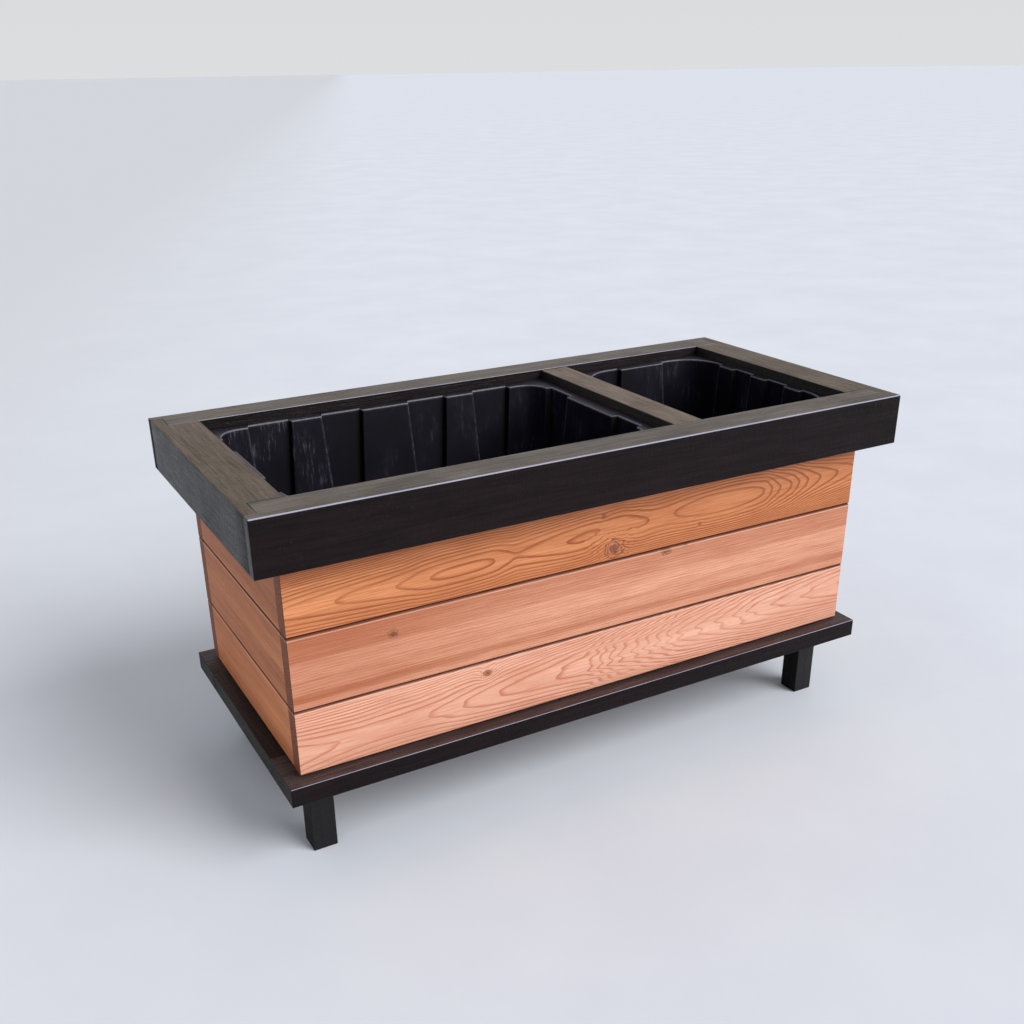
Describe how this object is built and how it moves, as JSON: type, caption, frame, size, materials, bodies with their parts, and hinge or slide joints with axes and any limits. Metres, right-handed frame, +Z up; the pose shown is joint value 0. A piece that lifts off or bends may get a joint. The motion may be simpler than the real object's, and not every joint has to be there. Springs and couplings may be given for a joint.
{
  "type": "raised planter on legs",
  "caption": "Raised rectangular planter: a cedar board box on a dark low-legged stand, under a wide dark overhanging rim, with two lift-out plastic liners either side of a divider.",
  "frame": {"origin": "on the ground, under the middle of the planter", "axes": "+X along the length, towards the end with the small liner; +Y from the front long side to the back one; +Z up"},
  "size_m": [1.2, 0.564, 0.618],
  "materials": {
    "cedar": "planed bare cedar, V-jointed",
    "black_stain": "brushed wood under black stain, satin",
    "inner_softwood": "rough-sawn, unfinished",
    "liner_plastic": "moulded, dusty and scuffed",
    "screw_steel": "zinc plated"
  },
  "bodies": {
    "planter": {"back_board_lower": "cedar", "back_board_middle": "cedar", "back_board_upper": "cedar", "bearer_hanger_back": "inner_softwood", "bearer_hanger_front": "inner_softwood", "corner_post_back_left": "inner_softwood", "corner_post_back_right": "inner_softwood", "corner_post_front_left": "inner_softwood", "corner_post_front_right": "inner_softwood", "divider_bearer": "inner_softwood", "floor_slat_1": "inner_softwood", "floor_slat_2": "inner_softwood", "floor_slat_3": "inner_softwood", "floor_slat_4": "inner_softwood", "floor_slat_5": "inner_softwood", "front_board_lower": "cedar", "front_board_middle": "cedar", "front_board_upper": "cedar", "left_board_lower": "cedar", "left_board_middle": "cedar", "left_board_upper": "cedar", "leg_back_left": "black_stain", "leg_back_right": "black_stain", "leg_front_left": "black_stain", "leg_front_right": "black_stain", "leg_screw_back_left": "screw_steel", "leg_screw_back_right": "screw_steel", "leg_screw_front_left": "screw_steel", "leg_screw_front_right": "screw_steel", "right_board_lower": "cedar", "right_board_middle": "cedar", "right_board_upper": "cedar", "rim_cleat_back": "black_stain", "rim_cleat_front": "black_stain", "rim_cleat_left": "black_stain", "rim_cleat_right": "black_stain", "rim_divider": "black_stain", "rim_fascia_back": "black_stain", "rim_fascia_front": "black_stain", "rim_fascia_left": "black_stain", "rim_fascia_right": "black_stain", "rim_rail_back": "black_stain", "rim_rail_front": "black_stain", "rim_rail_left": "black_stain", "rim_rail_right": "black_stain", "stand_rail_back": "black_stain", "stand_rail_front": "black_stain", "stand_rail_left": "black_stain", "stand_rail_right": "black_stain"},
    "large_liner": {"large_liner": "liner_plastic"},
    "small_liner": {"small_liner": "liner_plastic"}
  },
  "joints": [
    {"name": "large_liner_lift", "type": "slide", "parent": "planter", "child": "large_liner", "axis": [0, 0, 1], "range_m": [0, 0.42]},
    {"name": "small_liner_lift", "type": "slide", "parent": "planter", "child": "small_liner", "axis": [0, 0, 1], "range_m": [0, 0.42]}
  ]
}
